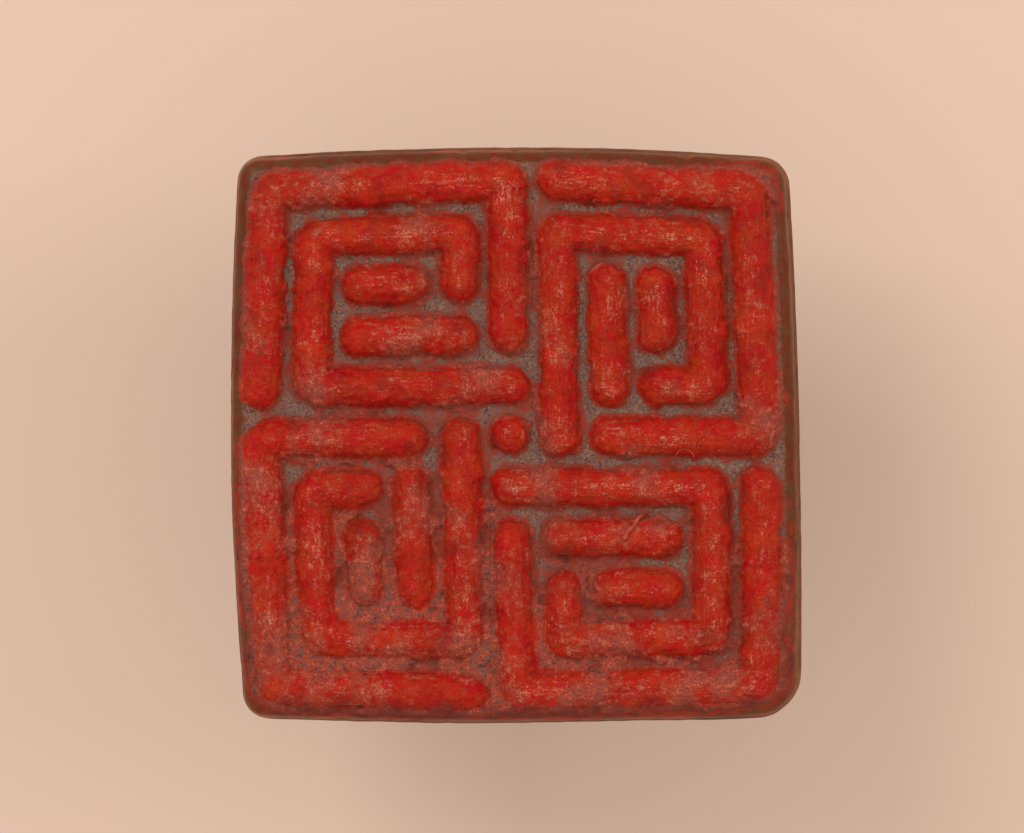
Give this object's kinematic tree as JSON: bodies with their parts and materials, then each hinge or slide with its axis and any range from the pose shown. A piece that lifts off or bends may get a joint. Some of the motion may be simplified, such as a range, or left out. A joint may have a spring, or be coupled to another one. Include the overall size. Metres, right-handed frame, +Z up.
{
  "type": "seal stamp",
  "caption": "Small square bronze seal with a fret of raised strips on its printing face, coated in dried red seal paste, on a pierced slab knob that it stands on.",
  "frame": {"origin": "middle of the flat end of the knob, on the surface that the seal stands on", "axes": "+Z up, out of the printing face; +Y towards the top of the design; +X to its right, along the knob's eye"},
  "size_m": [0.017, 0.0172, 0.014],
  "materials": {
    "cast_bronze": "cast bronze, olive brown patina, worn satin",
    "handled_bronze": "cast bronze, brown patina, polished by handling",
    "strip_bronze": "bent bronze strip, dull brown",
    "braze": "brazing bead, dull yellow brown",
    "seal_paste": "dried vermilion seal paste, grainy and matte"
  },
  "bodies": {
    "root": {"seal_block": "cast_bronze", "knob": "handled_bronze", "knob_braze": "braze", "upper_left_outer_hook": "strip_bronze", "upper_left_inner_hook": "strip_bronze", "upper_left_long_bar": "strip_bronze", "upper_left_short_bar": "strip_bronze", "upper_left_paste": "seal_paste", "upper_right_outer_hook": "strip_bronze", "upper_right_inner_hook": "strip_bronze", "upper_right_long_bar": "strip_bronze", "upper_right_short_bar": "strip_bronze", "upper_right_paste": "seal_paste", "lower_right_outer_hook": "strip_bronze", "lower_right_inner_hook": "strip_bronze", "lower_right_long_bar": "strip_bronze", "lower_right_short_bar": "strip_bronze", "lower_right_paste": "seal_paste", "lower_left_outer_hook": "strip_bronze", "lower_left_inner_hook": "strip_bronze", "lower_left_long_bar": "strip_bronze", "lower_left_short_bar": "strip_bronze", "lower_left_paste": "seal_paste", "middle_boss": "strip_bronze", "middle_paste": "seal_paste"}
  },
  "joints": []
}
